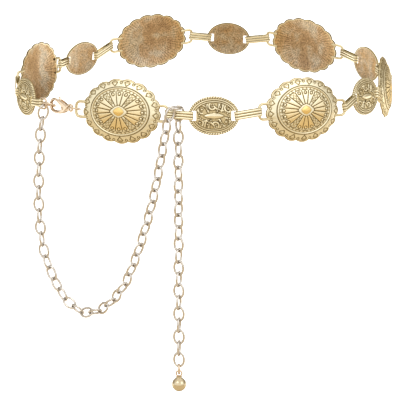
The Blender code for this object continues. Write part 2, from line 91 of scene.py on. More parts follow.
LOOP_BACK = 0.5 * MM
LOOP_CORNER = 2.6 * MM
LOOP_ROOT = 21.5 * MM
WELD = 0.001 * MM


def linear(code):
    """A colour written as sRGB hex, as Blender's linear values."""
    shares = [int(code[i : i + 2], 16) / 255 for i in (0, 2, 4)]
    return (*[s / 12.92 if s <= 0.04045 else ((s + 0.055) / 1.055) ** 2.4 for s in shares], 1)


def add_node(tree, kind, values=(), **settings):
    """A shader node with its settings and its inputs' values or links."""
    made = tree.nodes.new(f"ShaderNode{kind}")
    for key, value in settings.items():
        setattr(made, key, value)
    for key, value in dict(values).items():
        if isinstance(value, bpy.types.NodeSocket):
            tree.links.new(value, made.inputs[key])
        else:
            made.inputs[key].default_value = value
    return made


def ramp_of(tree, value, stops):
    """The colour at value on a ramp through (place, colour) stops."""
    made = add_node(tree, "ValToRGB", {"Fac": value})
    ramp = made.color_ramp
    while len(ramp.elements) < len(stops):
        ramp.elements.new(0.5)
    for element, (at, colour) in zip(ramp.elements, stops):
        element.position = at
        element.color = linear(colour)
    return made.outputs["Color"]


def noise(tree, size, detail=3):
    """Soft blotches about size mm across, fixed to the piece, from 0 to 1."""
    place = add_node(tree, "TexCoord")
    values = {"Vector": place.outputs["Object"], "Scale": 1 / (size * MM), "Detail": detail}
    return add_node(tree, "TexNoise", values).outputs["Fac"]


def mix(tree, share, first, second, blend="MIX"):
    """The first colour where share is 0 and the second where it is 1."""
    values = {"Fac": share, "Color1": first, "Color2": second}
    return add_node(tree, "MixRGB", values, blend_type=blend).outputs["Color"]


def rescale(tree, value, low, high, start=0, stop=1):
    """The value moved from low and high to start and stop, and held between those."""
    values = {"Value": value, "From Min": low, "From Max": high, "To Min": start, "To Max": stop}
    return add_node(tree, "MapRange", values).outputs["Result"]


def new_metal(name, edge="C4B6A0"):
    """A metal material, darker where seen edge-on, with its node tree and Principled node."""
    made = bpy.data.materials.new(name)
    made.use_nodes = True
    surface = made.node_tree.nodes["Principled BSDF"]
    surface.inputs["Metallic"].default_value = 1
    surface.inputs["Specular Tint"].default_value = linear(edge)
    return made, made.node_tree, surface


def skin(tree, surface, height, strength, depth):
    """The grain of the metal's surface, depth mm deep."""
    bump = add_node(tree, "Bump", {"Height": height, "Strength": strength, "Distance": depth * MM})
    tree.links.new(bump.outputs["Normal"], surface.inputs["Normal"])


def antiqued_gold():
    """Yellow gold plate, rubbed bright on the raised metal, brown antiquing in the recesses.

    It gives the eye pale gold with a drawing of worn brown lines. The antiquing attribute is how
    deep in a stamped line a point lies, and round the plates' edges it is painted shade as well;
    boss is 1 on the boss, whose plate is warmer, and less on the petals, where it is painted
    shade, redder on the lower petals than on the upper.
    """
    made, tree, surface = new_metal("antiqued_yellow_gold_plate")
    antiquing_and_painted_shade = add_node(tree, "Attribute", attribute_name="antiquing_and_painted_shade")
    boss = add_node(tree, "Attribute", attribute_name="boss")
    # Plating is a little redder in some places than in others.
    plate = mix(tree, noise(tree, 14), linear("F6F3DE"), linear("F2E6C2"))
    # Painted shade as well as tone: the boss attribute gives the boss its warmer plate and reddens
    # the petals, the lower ones most.
    warm = mix(tree, boss.outputs["Fac"], plate, linear("F8D88E"))
    # Antiquing wears off unevenly, so the brown's edge is broken by a fine grain.
    grain = noise(tree, 0.5, detail=2)
    worn = rescale(tree, grain, 0.3, 0.7, 0.75, 1)
    depth = add_node(tree, "Math", {0: antiquing_and_painted_shade.outputs["Fac"], 1: worn}, operation="MULTIPLY")
    depth = depth.outputs["Value"]
    antiquing = ramp_of(tree, depth, ((0, "FFFFFF"), (0.4, "D2C6AC"), (1, "33261A")))
    colour = mix(tree, 1, warm, antiquing, blend="MULTIPLY")
    tree.links.new(colour, surface.inputs["Base Color"])
    tree.links.new(rescale(tree, depth, 0, 1, 0.27, 0.6), surface.inputs["Roughness"])
    skin(tree, surface, grain, 0.15, 0.05)
    return made


def sunburst_bronze():
    """The unpolished back of a casting: gold flash over zinc, with fine rays off the mould.

    It gives the eye a matt brown-bronze in uneven patches, redder to the rim, with fine rays of
    light and dark specks. UV plan is in mm.
    """
    made, tree, surface = new_metal("bronze_casting_back")
    plan = add_node(tree, "UVMap", uv_map="plan")
    parts = add_node(tree, "SeparateXYZ", {"Vector": plan.outputs["UV"]})
    turn = add_node(
        tree, "Math", {0: parts.outputs["Y"], 1: parts.outputs["X"]}, operation="ARCTAN2"
    )
    rays = add_node(tree, "Math", {0: turn.outputs["Value"], 1: BACK_RAYS}, operation="MULTIPLY")
    wave = add_node(tree, "Math", {0: rays.outputs["Value"]}, operation="SINE")
    stops = ((0.36, "AE9272"), (0.48, "C0A686"), (0.6, "CABEAA"), (1, "CAAC7C"))
    patches = ramp_of(tree, noise(tree, 12), stops)
    far = add_node(tree, "VectorMath", {0: plan.outputs["UV"]}, operation="LENGTH")
    to_rim = rescale(tree, far.outputs["Value"], 15, 25)
    bronze = mix(tree, to_rim, patches, linear("C8A878"))
    rayed = {0: wave.outputs["Value"], 1: 0.08, 2: noise(tree, 0.9)}
    grain = add_node(tree, "Math", rayed, operation="MULTIPLY_ADD").outputs["Value"]
    shade = rescale(tree, grain, 0.32, 0.68, 0.5, 1.36)
    colour = add_node(tree, "VectorMath", {0: bronze, "Scale": shade}, operation="SCALE")
    tree.links.new(colour.outputs["Vector"], surface.inputs["Base Color"])
    surface.inputs["Roughness"].default_value = 0.42
    skin(tree, surface, grain, 0.4, 0.12)
    return made


gold_front = antiqued_gold()
bronze_back = sunburst_bronze()


def concho_frames():
    """Each concho's frame: X along the belt, Y up the concho, Z out of its face."""
    frames = {}
    for name, _, bearing, radius, turn, roll, rise, lean in RING:
        around = math.radians(bearing)
        out = Vector((math.sin(around), -math.cos(around), 0))
        centre = out * radius * MM + Vector((0, 0, rise * MM))
        facing = Matrix.Rotation(math.radians(bearing + turn), 4, "Z")
        tilt = Matrix.Rotation(math.radians(90 - lean), 4, "X")
        rolled = Matrix.Rotation(math.radians(roll), 4, "Z")
        frames[name] = Matrix.Translation(centre) @ facing @ tilt @ rolled
    return frames


def edit(obj):
    """Selects this object alone and goes into edit mode with all of it selected."""
    if bpy.context.object and bpy.context.object.mode == "EDIT":
        bpy.ops.object.mode_set(mode="OBJECT")
    bpy.ops.object.select_all(action="DESELECT")
    obj.select_set(True)
    bpy.context.view_layer.objects.active = obj
    bpy.ops.object.mode_set(mode="EDIT")
    bpy.ops.mesh.select_all(action="SELECT")


def finish_mesh(obj, smooth=40):
    """Leaves edit mode with doubles merged, normals outward and soft edges shaded smooth."""
    edit(obj)
    bpy.ops.mesh.remove_doubles(threshold=WELD)
    bpy.ops.mesh.normals_make_consistent(inside=False)
    bpy.ops.object.mode_set(mode="OBJECT")
    bpy.ops.object.shade_smooth_by_angle(angle=math.radians(smooth))


def join(base, *others):
    """One object from several; the base keeps its name."""
    bpy.ops.object.select_all(action="DESELECT")
    for obj in (base, *others):
        obj.select_set(True)
    bpy.context.view_layer.objects.active = base
    bpy.ops.object.join()
    return base


def select_where(obj, test):
    """In edit mode, selects just the vertices whose place passes the test."""
    bpy.ops.mesh.select_all(action="DESELECT")
    bpy.ops.mesh.select_mode(type="VERT")
    work = bmesh.from_edit_mesh(obj.data)
    for vertex in work.verts:
        vertex.select = test(vertex.co)
    work.select_flush(True)
    bmesh.update_edit_mesh(obj.data)


def draw_in(shares):
    """Draws the selected rim in, ring by ring, to these shares of its radius and to a point."""
    now = 1.0
    for share in shares:
        bpy.ops.mesh.extrude_edges_move()
        k = share / now
        bpy.ops.transform.resize(value=(k, k, 1), center_override=(0, 0, 0))
        now = share
    bpy.ops.mesh.merge(type="CENTER")


def disc(spokes, radius, shares, wall, back_shares):
    """A flat plate of rings drawn in from the rim, front first, then the rim wall and the back."""
    bpy.ops.object.select_all(action="DESELECT")
    bpy.ops.mesh.primitive_circle_add(vertices=spokes, radius=radius)
    obj = bpy.context.object
    edit(obj)
    draw_in(shares)
    select_where(obj, lambda co: co.xy.length > radius * 0.9999)
    bpy.ops.mesh.extrude_edges_move(TRANSFORM_OT_translate={"value": (0, 0, -wall)})
    draw_in(back_shares)
    finish_mesh(obj)
    return obj


def places(mesh):
    """All the mesh's points, a row each."""
    co = np.empty(len(mesh.vertices) * 3)
    mesh.vertices.foreach_get("co", co)
    return co.reshape(-1, 3)


def keep_plan(mesh, co):
    """The UV map plan: each corner's place across the plate, in mm."""
    corners = np.empty(len(mesh.loops), dtype=int)
    mesh.loops.foreach_get("vertex_index", corners)
    layer = mesh.uv_layers.new(name="plan")
    layer.uv.foreach_set("vector", (co[corners, :2] / MM).ravel())


def keep_attribute(mesh, name, values):
    """A number kept on each point, for the material to read."""
    made = mesh.attributes.new(name, "FLOAT", "POINT")
    made.data.foreach_set("value", values.astype(np.float32))


def plate_over(mesh, front, share, antiquing_and_painted_shade, boss, back):
    """Gold plate on the front and the rim, the back's own finish inside the rim."""
    keep_attribute(mesh, "antiquing_and_painted_shade", antiquing_and_painted_shade)
    keep_attribute(mesh, "boss", boss)
    mesh.materials.append(gold_front)
    mesh.materials.append(back)
    for face in mesh.polygons:
        rim = all(share[v] > RIM for v in face.vertices)
        face.material_index = 0 if rim or any(front[v] for v in face.vertices) else 1
    mesh.update()


def line(distance, width):
    """1 on the middle of a stamped line, falling to 0 at width from it."""
    return np.clip(1.7 - 1.7 * np.abs(distance) / width, 0, 1)


def ridge(distance, half_width):
    """1 on the crest of a rounded ridge, falling to 0 at its foot."""
    return np.clip(1 - (distance / half_width) ** 2, 0, 1)


def within(value, low, high):
    """Where the value lies between low and high."""
    return (value > low) & (value < high)


def off_middle(turn, first, count):
    """Where each point lies in its sector of count, from -0.5 to 0.5; first is a middle."""
    sector = (turn - first) / (2 * math.pi / count)
    return sector - np.round(sector)


def large_relief(share, turn):
    """Height added to the dish in mm, how deep the antiquing lies, and how red the plate is.

    The antiquing also takes in painted shade round the edge; the redness is the boss's warmer
    tone, and on the petals painted shade, deeper on the lower ones.
    """
    half_width = LARGE_WIDTH / 2 / MM
    half_height = LARGE_HEIGHT / 2 / MM
    x = share * np.cos(turn) * half_width
    y = share * np.sin(turn) * half_height
    reach = np.hypot(np.cos(turn) * half_width, np.sin(turn) * half_height)
    arc = np.hypot(np.sin(turn) * half_width, np.cos(turn) * half_height) * share
    inset = (1 - share) * reach

    # The raised band between rim and wheel, with a line on each side.
    height = 0.45 * ridge(share - BAND, 0.022)
    cut = line(share - BAND - 0.03, 0.018)
    cut = np.maximum(cut, 0.9 * line(share - BAND + 0.029, 0.014))

    # In each lobe an outlined mark with its point inwards, crossed by a bar near its wide end,
    # and a little ring between each two lobes.
    lobe_turn = 2 * math.pi / LOBES
    off = np.abs(off_middle(turn, -math.pi / 2, LOBES))
    aside = off * lobe_turn * arc
    length = MARK_LENGTH / MM
    along = (MARK_POINT / MM - inset) / length
    half = np.where(along < 0.7, along / 0.7, np.sqrt(np.clip((1 - along) / 0.3, 0, 1)))
    half *= MARK_HALF_WIDTH / MM
    mark = np.where(within(along, -0.05, 0.96), line(aside - half, 0.48), 0)
    top = np.where(aside < 1.1, line((along - 0.94) * length, 0.34), 0)
    bar = np.where(aside < half - 0.3, 0.7 * line((along - 0.68) * length, 0.24), 0)
    cut = np.maximum(cut, np.maximum(mark, np.maximum(top, bar)))
    away = np.hypot((0.5 - off) * lobe_turn * arc, inset - RINGLET_INSET / MM)
    cut = np.maximum(cut, line(away - RINGLET_RADIUS / MM, 0.32))
    height += 0.12 * np.clip(1 - away / 0.5, 0, 1)

    # The edge is rounded off inside a soft line that follows the lobes.
    cut = np.maximum(cut, 0.65 * line(inset - 1.0, 0.3))
    height -= 0.6 * np.clip((0.9 - inset) / 0.9, 0, 1) ** 2
    # Painted shade: the outer half millimetre of the front is darkened with the antiquing brown,
    # though nothing is stamped there.
    cut = np.maximum(cut, 0.9 * np.clip((0.5 - inset) / 0.4, 0, 1))

    # The wheel: twenty sectors, four of them ladders of crosses and the others petals.
    sector_turn = 2 * math.pi / SECTORS
    sector = (turn - math.pi / 2) / sector_turn
    wide = sector - np.round(sector)
    ladder = np.isin(np.round(sector).astype(int) % SECTORS, LADDERS)
    side = (0.5 - np.abs(wide)) * sector_turn * arc
    field = (np.abs(x * MM / FIELD[0]) ** 1.3 + np.abs(y * MM / FIELD[1]) ** 1.3) ** (1 / 1.3)
    wheel = (share < WHEEL) & (field > 1)
    cut = np.where(wheel, np.maximum(cut, line(side, 0.42)), cut)
    height = np.where(wheel & ~ladder, height + 0.05 * (1 - (2 * wide) ** 2), height)
    step = (share - LADDER_FOOT) / LADDER_STEP
    crossing = np.abs(2 * (step - np.floor(step)) - 1)
    cross = line((np.abs(wide) / 0.4 - crossing) * 0.085 * arc, 0.3)
    rung = line((step - np.round(step)) * LADDER_STEP * reach, 0.25)
    steps = ladder & within(share, LADDER_FOOT, 0.61) & (np.abs(wide) < 0.42)
    cut = np.where(steps, np.maximum(cut, np.maximum(0.75 * cross, 0.5 * rung)), cut)

    # A little ring at the end of each petal, a thick arc over it and two pips outside that.
    end = 0.54 + 0.045 * np.cos(turn) ** 2
    away = np.hypot(wide * sector_turn * arc, (share - end) * reach)
    cut = np.where(~ladder & (away < 1.3), line(away - PETAL_RING_RADIUS / MM, 0.38), cut)
    height = np.where(~ladder, height + 0.15 * np.clip(1 - away / 0.6, 0, 1), height)
    cut = np.maximum(cut, 0.9 * line((share - 0.63) * reach, 0.4) * (np.abs(wide) < 0.41))
    pip = off_middle(turn, math.pi / 2 + sector_turn / 4, 2 * SECTORS) * sector_turn / 2 * arc
    cut = np.maximum(cut, 0.9 * line(np.hypot(pip, (share - 0.664) * reach), 0.5))

    # The boss stands on a plain pointed field inside one dark line.
    cut = np.maximum(cut, line((field - 1) * 4.2, 0.36))
    cut = np.where(field < 0.95, 0, cut)
    boss = (np.abs(x * MM / BOSS[0]) ** 1.5 + np.abs(y * MM / BOSS[1]) ** 1.5) ** (1 / 1.5)
    cut = np.maximum(cut, 0.35 * line((boss - 1) * 2.6, 0.3))
    height = np.where(boss < 1, height + 0.3 * (1 - boss**2), height)
    bright = np.clip((1.1 - boss) / 0.2, 0, 1)
    # Painted shade on the petals: a redder tone, strongest on the lower petals and faint on the
    # upper.
    petal = wheel & ~ladder & (share < 0.56)
    bright = np.maximum(bright, np.where(petal, 0.35 - 0.3 * np.sin(turn), 0))
    return height - 0.12 * cut, cut, bright


def shape_large(obj):
    """Domes, lobes and stamps the flat disc, in its own plane."""
    mesh = obj.data
    co = places(mesh)
    front = co[:, 2] > -LARGE_WALL / 2
    share = np.hypot(co[:, 0], co[:, 1]) / (LARGE_WIDTH / 2)
    turn = np.arctan2(co[:, 1], co[:, 0])
    height, cut, bright = large_relief(share, turn)
    # The notches between the lobes fade out inwards, and the rim is a little thinner behind.
    blend = np.clip((share - 0.76) / 0.24, 0, 1) ** 1.5
    scale = 1 - LOBE_DEPTH * (2 * off_middle(turn, -math.pi / 2, LOBES)) ** 2 * blend
    co[:, 0] *= scale
    co[:, 1] *= scale * LARGE_HEIGHT / LARGE_WIDTH
    dish = LARGE_DOME * (1 - share**2)
    rim_back = 0.35 * MM * np.clip((share - 0.95) / 0.05, 0, 1)
    co[:, 2] = np.where(front, dish + height * MM, dish - LARGE_WALL + rim_back)
    keep_plan(mesh, co)
    mesh.vertices.foreach_set("co", co.ravel())
    # Painted shade on the back: the antiquing brown is painted round the rim's outer edge, and a
    # faint line of it just inside.
    edge = np.where(share > 0.97, 1.0, 0.35 * (np.abs(share - 0.93) < 0.01))
    antiquing_and_painted_shade = np.where(front, cut, edge)
    plate_over(mesh, front, share, antiquing_and_painted_shade, np.where(front, bright, 0), bronze_back)


def end_loop(side):
    """The wire loop on one end: a round wire drawn out, round a corner, down and back."""
    start = Vector((side * LOOP_ROOT, LOOP_HALF_HEIGHT, -LOOP_BACK))
    bpy.ops.object.select_all(action="DESELECT")
    bpy.ops.mesh.primitive_circle_add(
        vertices=14,
        radius=LOOP_WIRE,
        location=start,
        rotation=(0, math.pi / 2, 0),
    )
    obj = bpy.context.object
    bpy.ops.object.transform_apply(location=True, rotation=True)
    edit(obj)
    straight = LOOP_BAR - LOOP_CORNER - LOOP_ROOT
    move = {"value": (side * straight, 0, 0)}
    bpy.ops.mesh.extrude_edges_move(TRANSFORM_OT_translate=move)
    inner = side * (LOOP_BAR - LOOP_CORNER)
    for up in (1, -1):
        centre = (inner, up * (LOOP_HALF_HEIGHT - LOOP_CORNER), -LOOP_BACK)
        bpy.ops.mesh.spin(steps=6, angle=math.pi / 2, center=centre, axis=(0, 0, side))
        if up == 1:
            down = 2 * (LOOP_HALF_HEIGHT - LOOP_CORNER)
            move = {"value": (0, -down, 0)}
        else:
            move = {"value": (-side * straight, 0, 0)}
        bpy.ops.mesh.extrude_edges_move(TRANSFORM_OT_translate=move)
    bpy.ops.object.mode_set(mode="OBJECT")
    obj.data.materials.append(gold_front)
    finish_mesh(obj)
    keep_attribute(obj.data, "antiquing_and_painted_shade", np.full(len(obj.data.vertices), 0.25))
    return obj


def new_object(name, data):
    """An object of this mesh, light or camera, in the scene."""
    obj = bpy.data.objects.new(name, data)
    bpy.context.scene.collection.objects.link(obj)
    return obj


def set_down(name, model, matrix, body="belt", finish="antique_gold"):
    """A copy of a modelled piece, with its own mesh, moved by the matrix; the CAD node of that
    name is hidden.
    """
    mesh = model.data.copy()
    mesh.transform(matrix)
    mesh.name = name
    obj = new_object(f"show_{name}", mesh)
    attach(obj, body)
    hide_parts(name)


def put_away(obj):
    """Removes a model or a cutter that has done its work."""
    bpy.data.objects.remove(obj)


rings = [1 - 0.0135 * i for i in range(1, 74)]
back_rings = (0.975, 0.96, 0.93, 0.84, 0.7, 0.5, 0.3, 0.12)
large = disc(27 * LOBES, LARGE_WIDTH / 2, rings, LARGE_WALL, back_rings)
shape_large(large)
join(large, end_loop(1), end_loop(-1))
frames = concho_frames()
for name, kind, *_ in RING:
    if kind == "large":
        set_down(name, large, frames[name])
put_away(large)

# Small conchos. Six plain ovals of the same casting and plating: a roped edge, a smooth ridge,
# scrolls and beads on an antiqued ground, and a lens-shaped bar across the middle. The straps
# pass through a slot at each end.

SMALL_WIDTH = 29.6 * MM
SMALL_HEIGHT = 22.5 * MM
SMALL_DOME = 1.2 * MM
SMALL_WALL = 0.95 * MM
ROPE_STRANDS = 58
SLOT_CENTRE = 11.55 * MM
SLOT_WIDTH = 2.7 * MM
SLOT_HEIGHT = 5.7 * MM
SLOT_DEPTH = 8 * MM
SLOT_CORNER = 0.45 * MM
SLOT_FOLD = 13.6 * MM
SLOT_FOLD_BACK = 0.3 * MM
SCROLLS = (
    # x mm, y mm, radius mm, start degrees, sweep degrees; each has a twin turned half round
    (-1.0, 5.6, 1.9, 60, 290),
    (0.4, 5.0, 4.5, 128, 95),
    (-4.2, 6.6, 7.2, 10, -48),
    (-3.0, 6.4, 8.2, 8, -38),
    (-6.9, 3.7, 2.4, 10, 270),
    (8.4, 4.4, 2.2, 40, 250),
    (5.2, 9.6, 6.6, 215, 60),
)
BEADS = (
    # x mm, y mm, radius mm; each has a twin turned half round
    (-1.6, 6.4, 0.5),
    (-0.4, 6.5, 0.5),
    (-1.1, 5.2, 0.5),
    (3.6, 5.0, 0.55),
    (2.9, 3.7, 0.55),
    (1.8, 2.8, 0.5),
    (-5.2, 6.6, 0.5),
    (-4.6, 5.2, 0.5),
    (-4.3, 3.9, 0.5),
    (-7.0, 3.6, 0.7),
    (-8.9, 1.6, 0.5),
    (-8.4, 0.2, 0.5),
    (8.2, 4.0, 0.6),
    (6.6, 2.2, 0.5),
    (7.8, 1.4, 0.5),
)


def small_relief(share, turn):
    """Height added to the dish, in mm, and how deep in the antiquing, at each point."""
    x = share * np.cos(turn) * SMALL_WIDTH / 2 / MM
    y = share * np.sin(turn) * SMALL_HEIGHT / 2 / MM
    reach = np.hypot(np.cos(turn) * SMALL_WIDTH, np.sin(turn) * SMALL_HEIGHT) / 2 / MM
    inset = (1 - share) * reach
    ground = inset > 3.5
    cut = np.zeros_like(share)
    raised = np.zeros_like(share)
    height = np.where(ground, -0.12, 0.0)

    # Scrolls stand up from the ground, each between two dark lines, with beads among them.
    for way in (1, -1):
        for cx, cy, radius, start, sweep in SCROLLS:
            dx = x - way * cx
            dy = y - way * cy
            low = start if sweep > 0 else start + sweep
            angle = (np.degrees(np.arctan2(way * dy, way * dx)) - low) % 360
            off = np.where(angle < abs(sweep), np.abs(np.hypot(dx, dy) - radius), 9)
            raised = np.maximum(raised, np.clip(1.6 * line(off, 0.5), 0, 1))
            cut = np.maximum(cut, line(off - 0.74, 0.42))
    cut = np.where(ground, np.maximum(cut, 0.38) * (1 - raised), 0)
    height += 0.32 * np.where(ground, raised, 0)
    for way in (1, -1):
        for cx, cy, radius in BEADS:
            away = np.hypot(x - way * cx, y - way * cy) / radius
            round_top = np.clip(1 - away**2, 0, 1)
            cut = np.where(ground & (away < 1.5), 0.95 * np.clip((away - 0.5) / 0.5, 0, 1), cut)
            height = np.where(ground, height + 0.4 * np.sqrt(round_top), height)

    # The lens-shaped bar, inside one dark line.
    bar = np.abs(y) - 1.6 * np.clip(1 - (x / 5.9) ** 2, 0, 1) ** 0.7
    lens = np.clip(-bar / 1.4, 0, 1)
    on_bar = (bar < 0) & (np.abs(x) < 5.9)
    cut = np.where(on_bar, 0, cut)
    height = np.where(on_bar, 0.95 * np.sqrt(lens), height)
    cut = np.where(within(bar, 0, 0.4) & (np.abs(x) < 6.3), 0.95, cut)

    # Two smooth ridges, then the rope: short strands laid slantwise round the edge.
    for ridge_at in (1.85, 3.0):
        height += 0.26 * ridge(inset - ridge_at, 0.5)
    for groove_at in (1.25, 2.45, 3.55):
        cut = np.where(np.abs(inset - groove_at) < 0.4, line(inset - groove_at, 0.42), cut)
    strand = turn * ROPE_STRANDS / 2 - (inset - 0.7) * 1.1
    lay = np.abs(np.sin(strand))
    rope = inset < 1.15
    round_edge = np.sqrt(ridge(inset - 0.55, 0.6))
    height = np.where(rope, round_edge * (0.2 + 0.3 * lay) - 0.05, height)
    cut = np.where(rope, np.clip(1.4 - 1.7 * lay, 0, 1), cut)
    return height, cut


def shape_small(obj):
    """Domes and stamps the flat disc."""
    mesh = obj.data
    co = places(mesh)
    front = co[:, 2] > -SMALL_WALL / 2
    share = np.hypot(co[:, 0], co[:, 1]) / (SMALL_WIDTH / 2)
    turn = np.arctan2(co[:, 1], co[:, 0])
    height, cut = small_relief(share, turn)
    co[:, 1] *= SMALL_HEIGHT / SMALL_WIDTH
    dish = SMALL_DOME * (1 - share**2)
    co[:, 2] = np.where(front, dish + height * MM, dish - SMALL_WALL)
    keep_plan(mesh, co)
    mesh.vertices.foreach_set("co", co.ravel())
    # Painted shade on the back: the antiquing brown is painted round the rim's outer edge, and a
    # faint line of it just inside.
    edge = np.where(share > 0.96, 0.9, 0.4 * (np.abs(share - 0.93) < 0.01))
    plate_over(mesh, front, share, np.where(front, cut, edge), np.zeros(len(co)), mottled_back)


def subtract(obj, cutter):
    """Cuts the cutter's shape out of the piece and puts the cutter away."""
    cut = obj.modifiers.new("Cut", "BOOLEAN")
    cut.operation = "DIFFERENCE"
    cut.object = cutter
    bpy.ops.object.select_all(action="DESELECT")
    obj.select_set(True)
    bpy.context.view_layer.objects.active = obj
    bpy.ops.object.modifier_apply(modifier=cut.name)
    put_away(cutter)


def cut_slot(obj, side):
    """A slot with rounded corners, cut through by a block."""
    bpy.ops.object.select_all(action="DESELECT")
    bpy.ops.mesh.primitive_cube_add(size=1, location=(side * SLOT_CENTRE, 0, 0))
    block = bpy.context.object
    block.scale = (SLOT_WIDTH, SLOT_HEIGHT, SLOT_DEPTH)
    bpy.ops.object.transform_apply(location=True, scale=True)
    edit(block)
    bpy.ops.mesh.select_mode(type="EDGE")
    bpy.ops.mesh.select_all(action="DESELECT")
    work = bmesh.from_edit_mesh(block.data)
    for edge in work.edges:
        edge.select = abs((edge.verts[0].co - edge.verts[1].co).z) > MM
    bmesh.update_edit_mesh(block.data)
    bpy.ops.mesh.bevel(offset=SLOT_CORNER, segments=3)
    bpy.ops.object.mode_set(mode="OBJECT")
    subtract(obj, block)


def mottled_bronze():
    """The small plates' backs: the same flash of gold on the casting's fine sandy skin.

    It gives the eye a brown-gold sheen in soft patches, broken by bright and dark specks.
    """
    made, tree, surface = new_metal("mottled_bronze_back")
    soft = rescale(tree, noise(tree, 6), 0.35, 0.65)
    patches = mix(tree, soft, linear("B49874"), linear("BEB09A"))
    speck = noise(tree, 0.8, detail=2)
    shade = rescale(tree, speck, 0.32, 0.68, 0.5, 1.4)
    colour = add_node(tree, "VectorMath", {0: patches, "Scale": shade}, operation="SCALE")
    tree.links.new(colour.outputs["Vector"], surface.inputs["Base Color"])
    surface.inputs["Roughness"].default_value = 0.38
    skin(tree, surface, speck, 0.6, 0.15)
    return made


mottled_back = mottled_bronze()
rings = [1 - 0.0195 * i for i in range(1, 51)]
back_rings = (0.965, 0.95, 0.93, 0.8, 0.6, 0.4, 0.2)
small = disc(380, SMALL_WIDTH / 2, rings, SMALL_WALL, back_rings)
shape_small(small)
cut_slot(small, 1)
cut_slot(small, -1)
for name, kind, *_ in RING:
    if kind == "small":
        set_down(name, small, frames[name])
put_away(small)

# Straps. Short closed bands of brass strip, rolled with three ribs and folded round a slot's
# rim at one end and a loop's bar at the other, plated in the same yellow gold.

STRAP_HEIGHT = 4.8 * MM
STRAP_INSIDE = 0.95 * MM
STRAP_STRIP = 0.4 * MM
STRAP_RIB = 0.34 * MM
STRAP_RIBS = 3
STRAP_PLAY = 0.2 * MM
STRAP_STEPS = 30
END_STRAP = 7.3 * MM


def axes(origin, along, up):
    """A frame at the origin with X along, Z as near up as it can be, and Y across."""
    x = along.normalized()
    y = up.cross(x).normalized()
    z = x.cross(y)
    made = Matrix((x, y, z)).transposed().to_4x4()
    made.translation = origin
    return made


def fold_point(matrix, kind, side):
    """Where a strap folds on this concho's left (-1) or right (1) end."""
    if kind == "large":
        return matrix @ Vector((side * LOOP_BAR, 0, -LOOP_BACK))
    return matrix @ Vector((side * SLOT_FOLD, 0, -SLOT_FOLD_BACK))


def strap(length):
    """A band round what it holds at 0 and at length on X, three ribs along its outside."""
    bpy.ops.object.select_all(action="DESELECT")
    bpy.ops.mesh.primitive_circle_add(
        vertices=32, radius=STRAP_INSIDE + STRAP_STRIP, location=(0, 0, -STRAP_HEIGHT / 2)
    )
    obj = bpy.context.object
    bpy.ops.object.transform_apply(location=True)
    edit(obj)
    select_where(obj, lambda co: co.x > 0.0001 * MM)
    bpy.ops.transform.translate(value=(length + STRAP_PLAY, 0, 0))
    select_where(obj, lambda co: co.x < 2 * MM)
    bpy.ops.transform.translate(value=(-STRAP_PLAY, 0, 0))
    bpy.ops.mesh.select_all(action="SELECT")
    for _ in range(STRAP_STEPS):
        up = {"value": (0, 0, STRAP_HEIGHT / STRAP_STEPS)}
        bpy.ops.mesh.extrude_edges_move(TRANSFORM_OT_translate=up)
    finish_mesh(obj)
    strip = obj.modifiers.new("Strip", "SOLIDIFY")
    strip.thickness = STRAP_STRIP
    strip.offset = -1
    bpy.ops.object.modifier_apply(modifier=strip.name)
    # The ribs are pressed out of the outer face only.
    mesh = obj.data
    co = places(mesh)
    spine = np.clip(co[:, 0], -STRAP_PLAY, length + STRAP_PLAY)
    out = np.stack((co[:, 0] - spine, co[:, 1]), axis=1)
    far = np.hypot(out[:, 0], out[:, 1])
    outer = far > STRAP_INSIDE + STRAP_STRIP / 2
    wave = np.abs(np.sin(math.pi * STRAP_RIBS * (co[:, 2] / STRAP_HEIGHT + 0.5)))
    push = np.where(outer, STRAP_RIB * wave**0.6, 0)
    co[:, :2] += out / far[:, None] * push[:, None]
    mesh.vertices.foreach_set("co", co.ravel())
    valley = np.clip(1.3 - wave / 0.5, 0, 1) * (np.abs(co[:, 2]) < STRAP_HEIGHT * 0.47)
    keep_attribute(mesh, "antiquing_and_painted_shade", np.where(outer, valley, 0))
    mesh.materials.append(gold_front)
    finish_mesh(obj)
    return obj


def set_once(name, model, matrix, **how):
    """Sets down a piece that is modelled for one place only, and puts the model away."""
    set_down(name, model, matrix, **how)
    put_away(model)


def strap_line(before, after):
    """The frame and the length of the strap from one concho to the next."""
    start = fold_point(frames[before[0]], before[1], 1)
    end = fold_point(frames[after[0]], after[1], -1)
    up = frames[before[0]].col[1].to_3d() + frames[after[0]].col[1].to_3d()
    return axes(start, end - start, up), (end - start).length


for number, (before, after) in enumerate(zip(RING, RING[1:]), 1):
    matrix, length = strap_line(before, after)
    set_once(f"strap_{number}", strap(length), matrix)
first_strap = strap_line(RING[0], RING[1])[0]
closing_line, closing_length = strap_line(RING[-1], RING[0])
set_once("end_strap", strap(END_STRAP), closing_line)

# Closing hardware. A D ring hangs in the end strap's fold with one chain link in its bow; the
# lobster clasp bites that link, and the clasp's eye is tied by a ring to the first concho's
# loop. All of it is polished brass in pale rose gold plate; the lever turns on a steel rivet.

END_RING_WIRE = 0.65 * MM
END_RING_BOW = 6.6 * MM
CHAIN_WIRE = 0.75 * MM
CHAIN_HALF_WIDTH = 3.0 * MM
CLASP_BOW = 19.55 * MM
CLASP_PIVOT = (CLASP_BOW + 14.2 * MM, -1.0 * MM)
CLASP_EYE = CLASP_BOW + 21.2 * MM
CLAW_WIRE = 0.9 * MM
EYE_RADIUS = 1.9 * MM
EYE_WIRE = 0.7 * MM
CLASP_RING_WIRE = 0.6 * MM
CLASP_RING_HALF_WIDTH = 3.2 * MM
RIVET = 1.0 * MM
CLOSING_GAP = 0.3 * MM


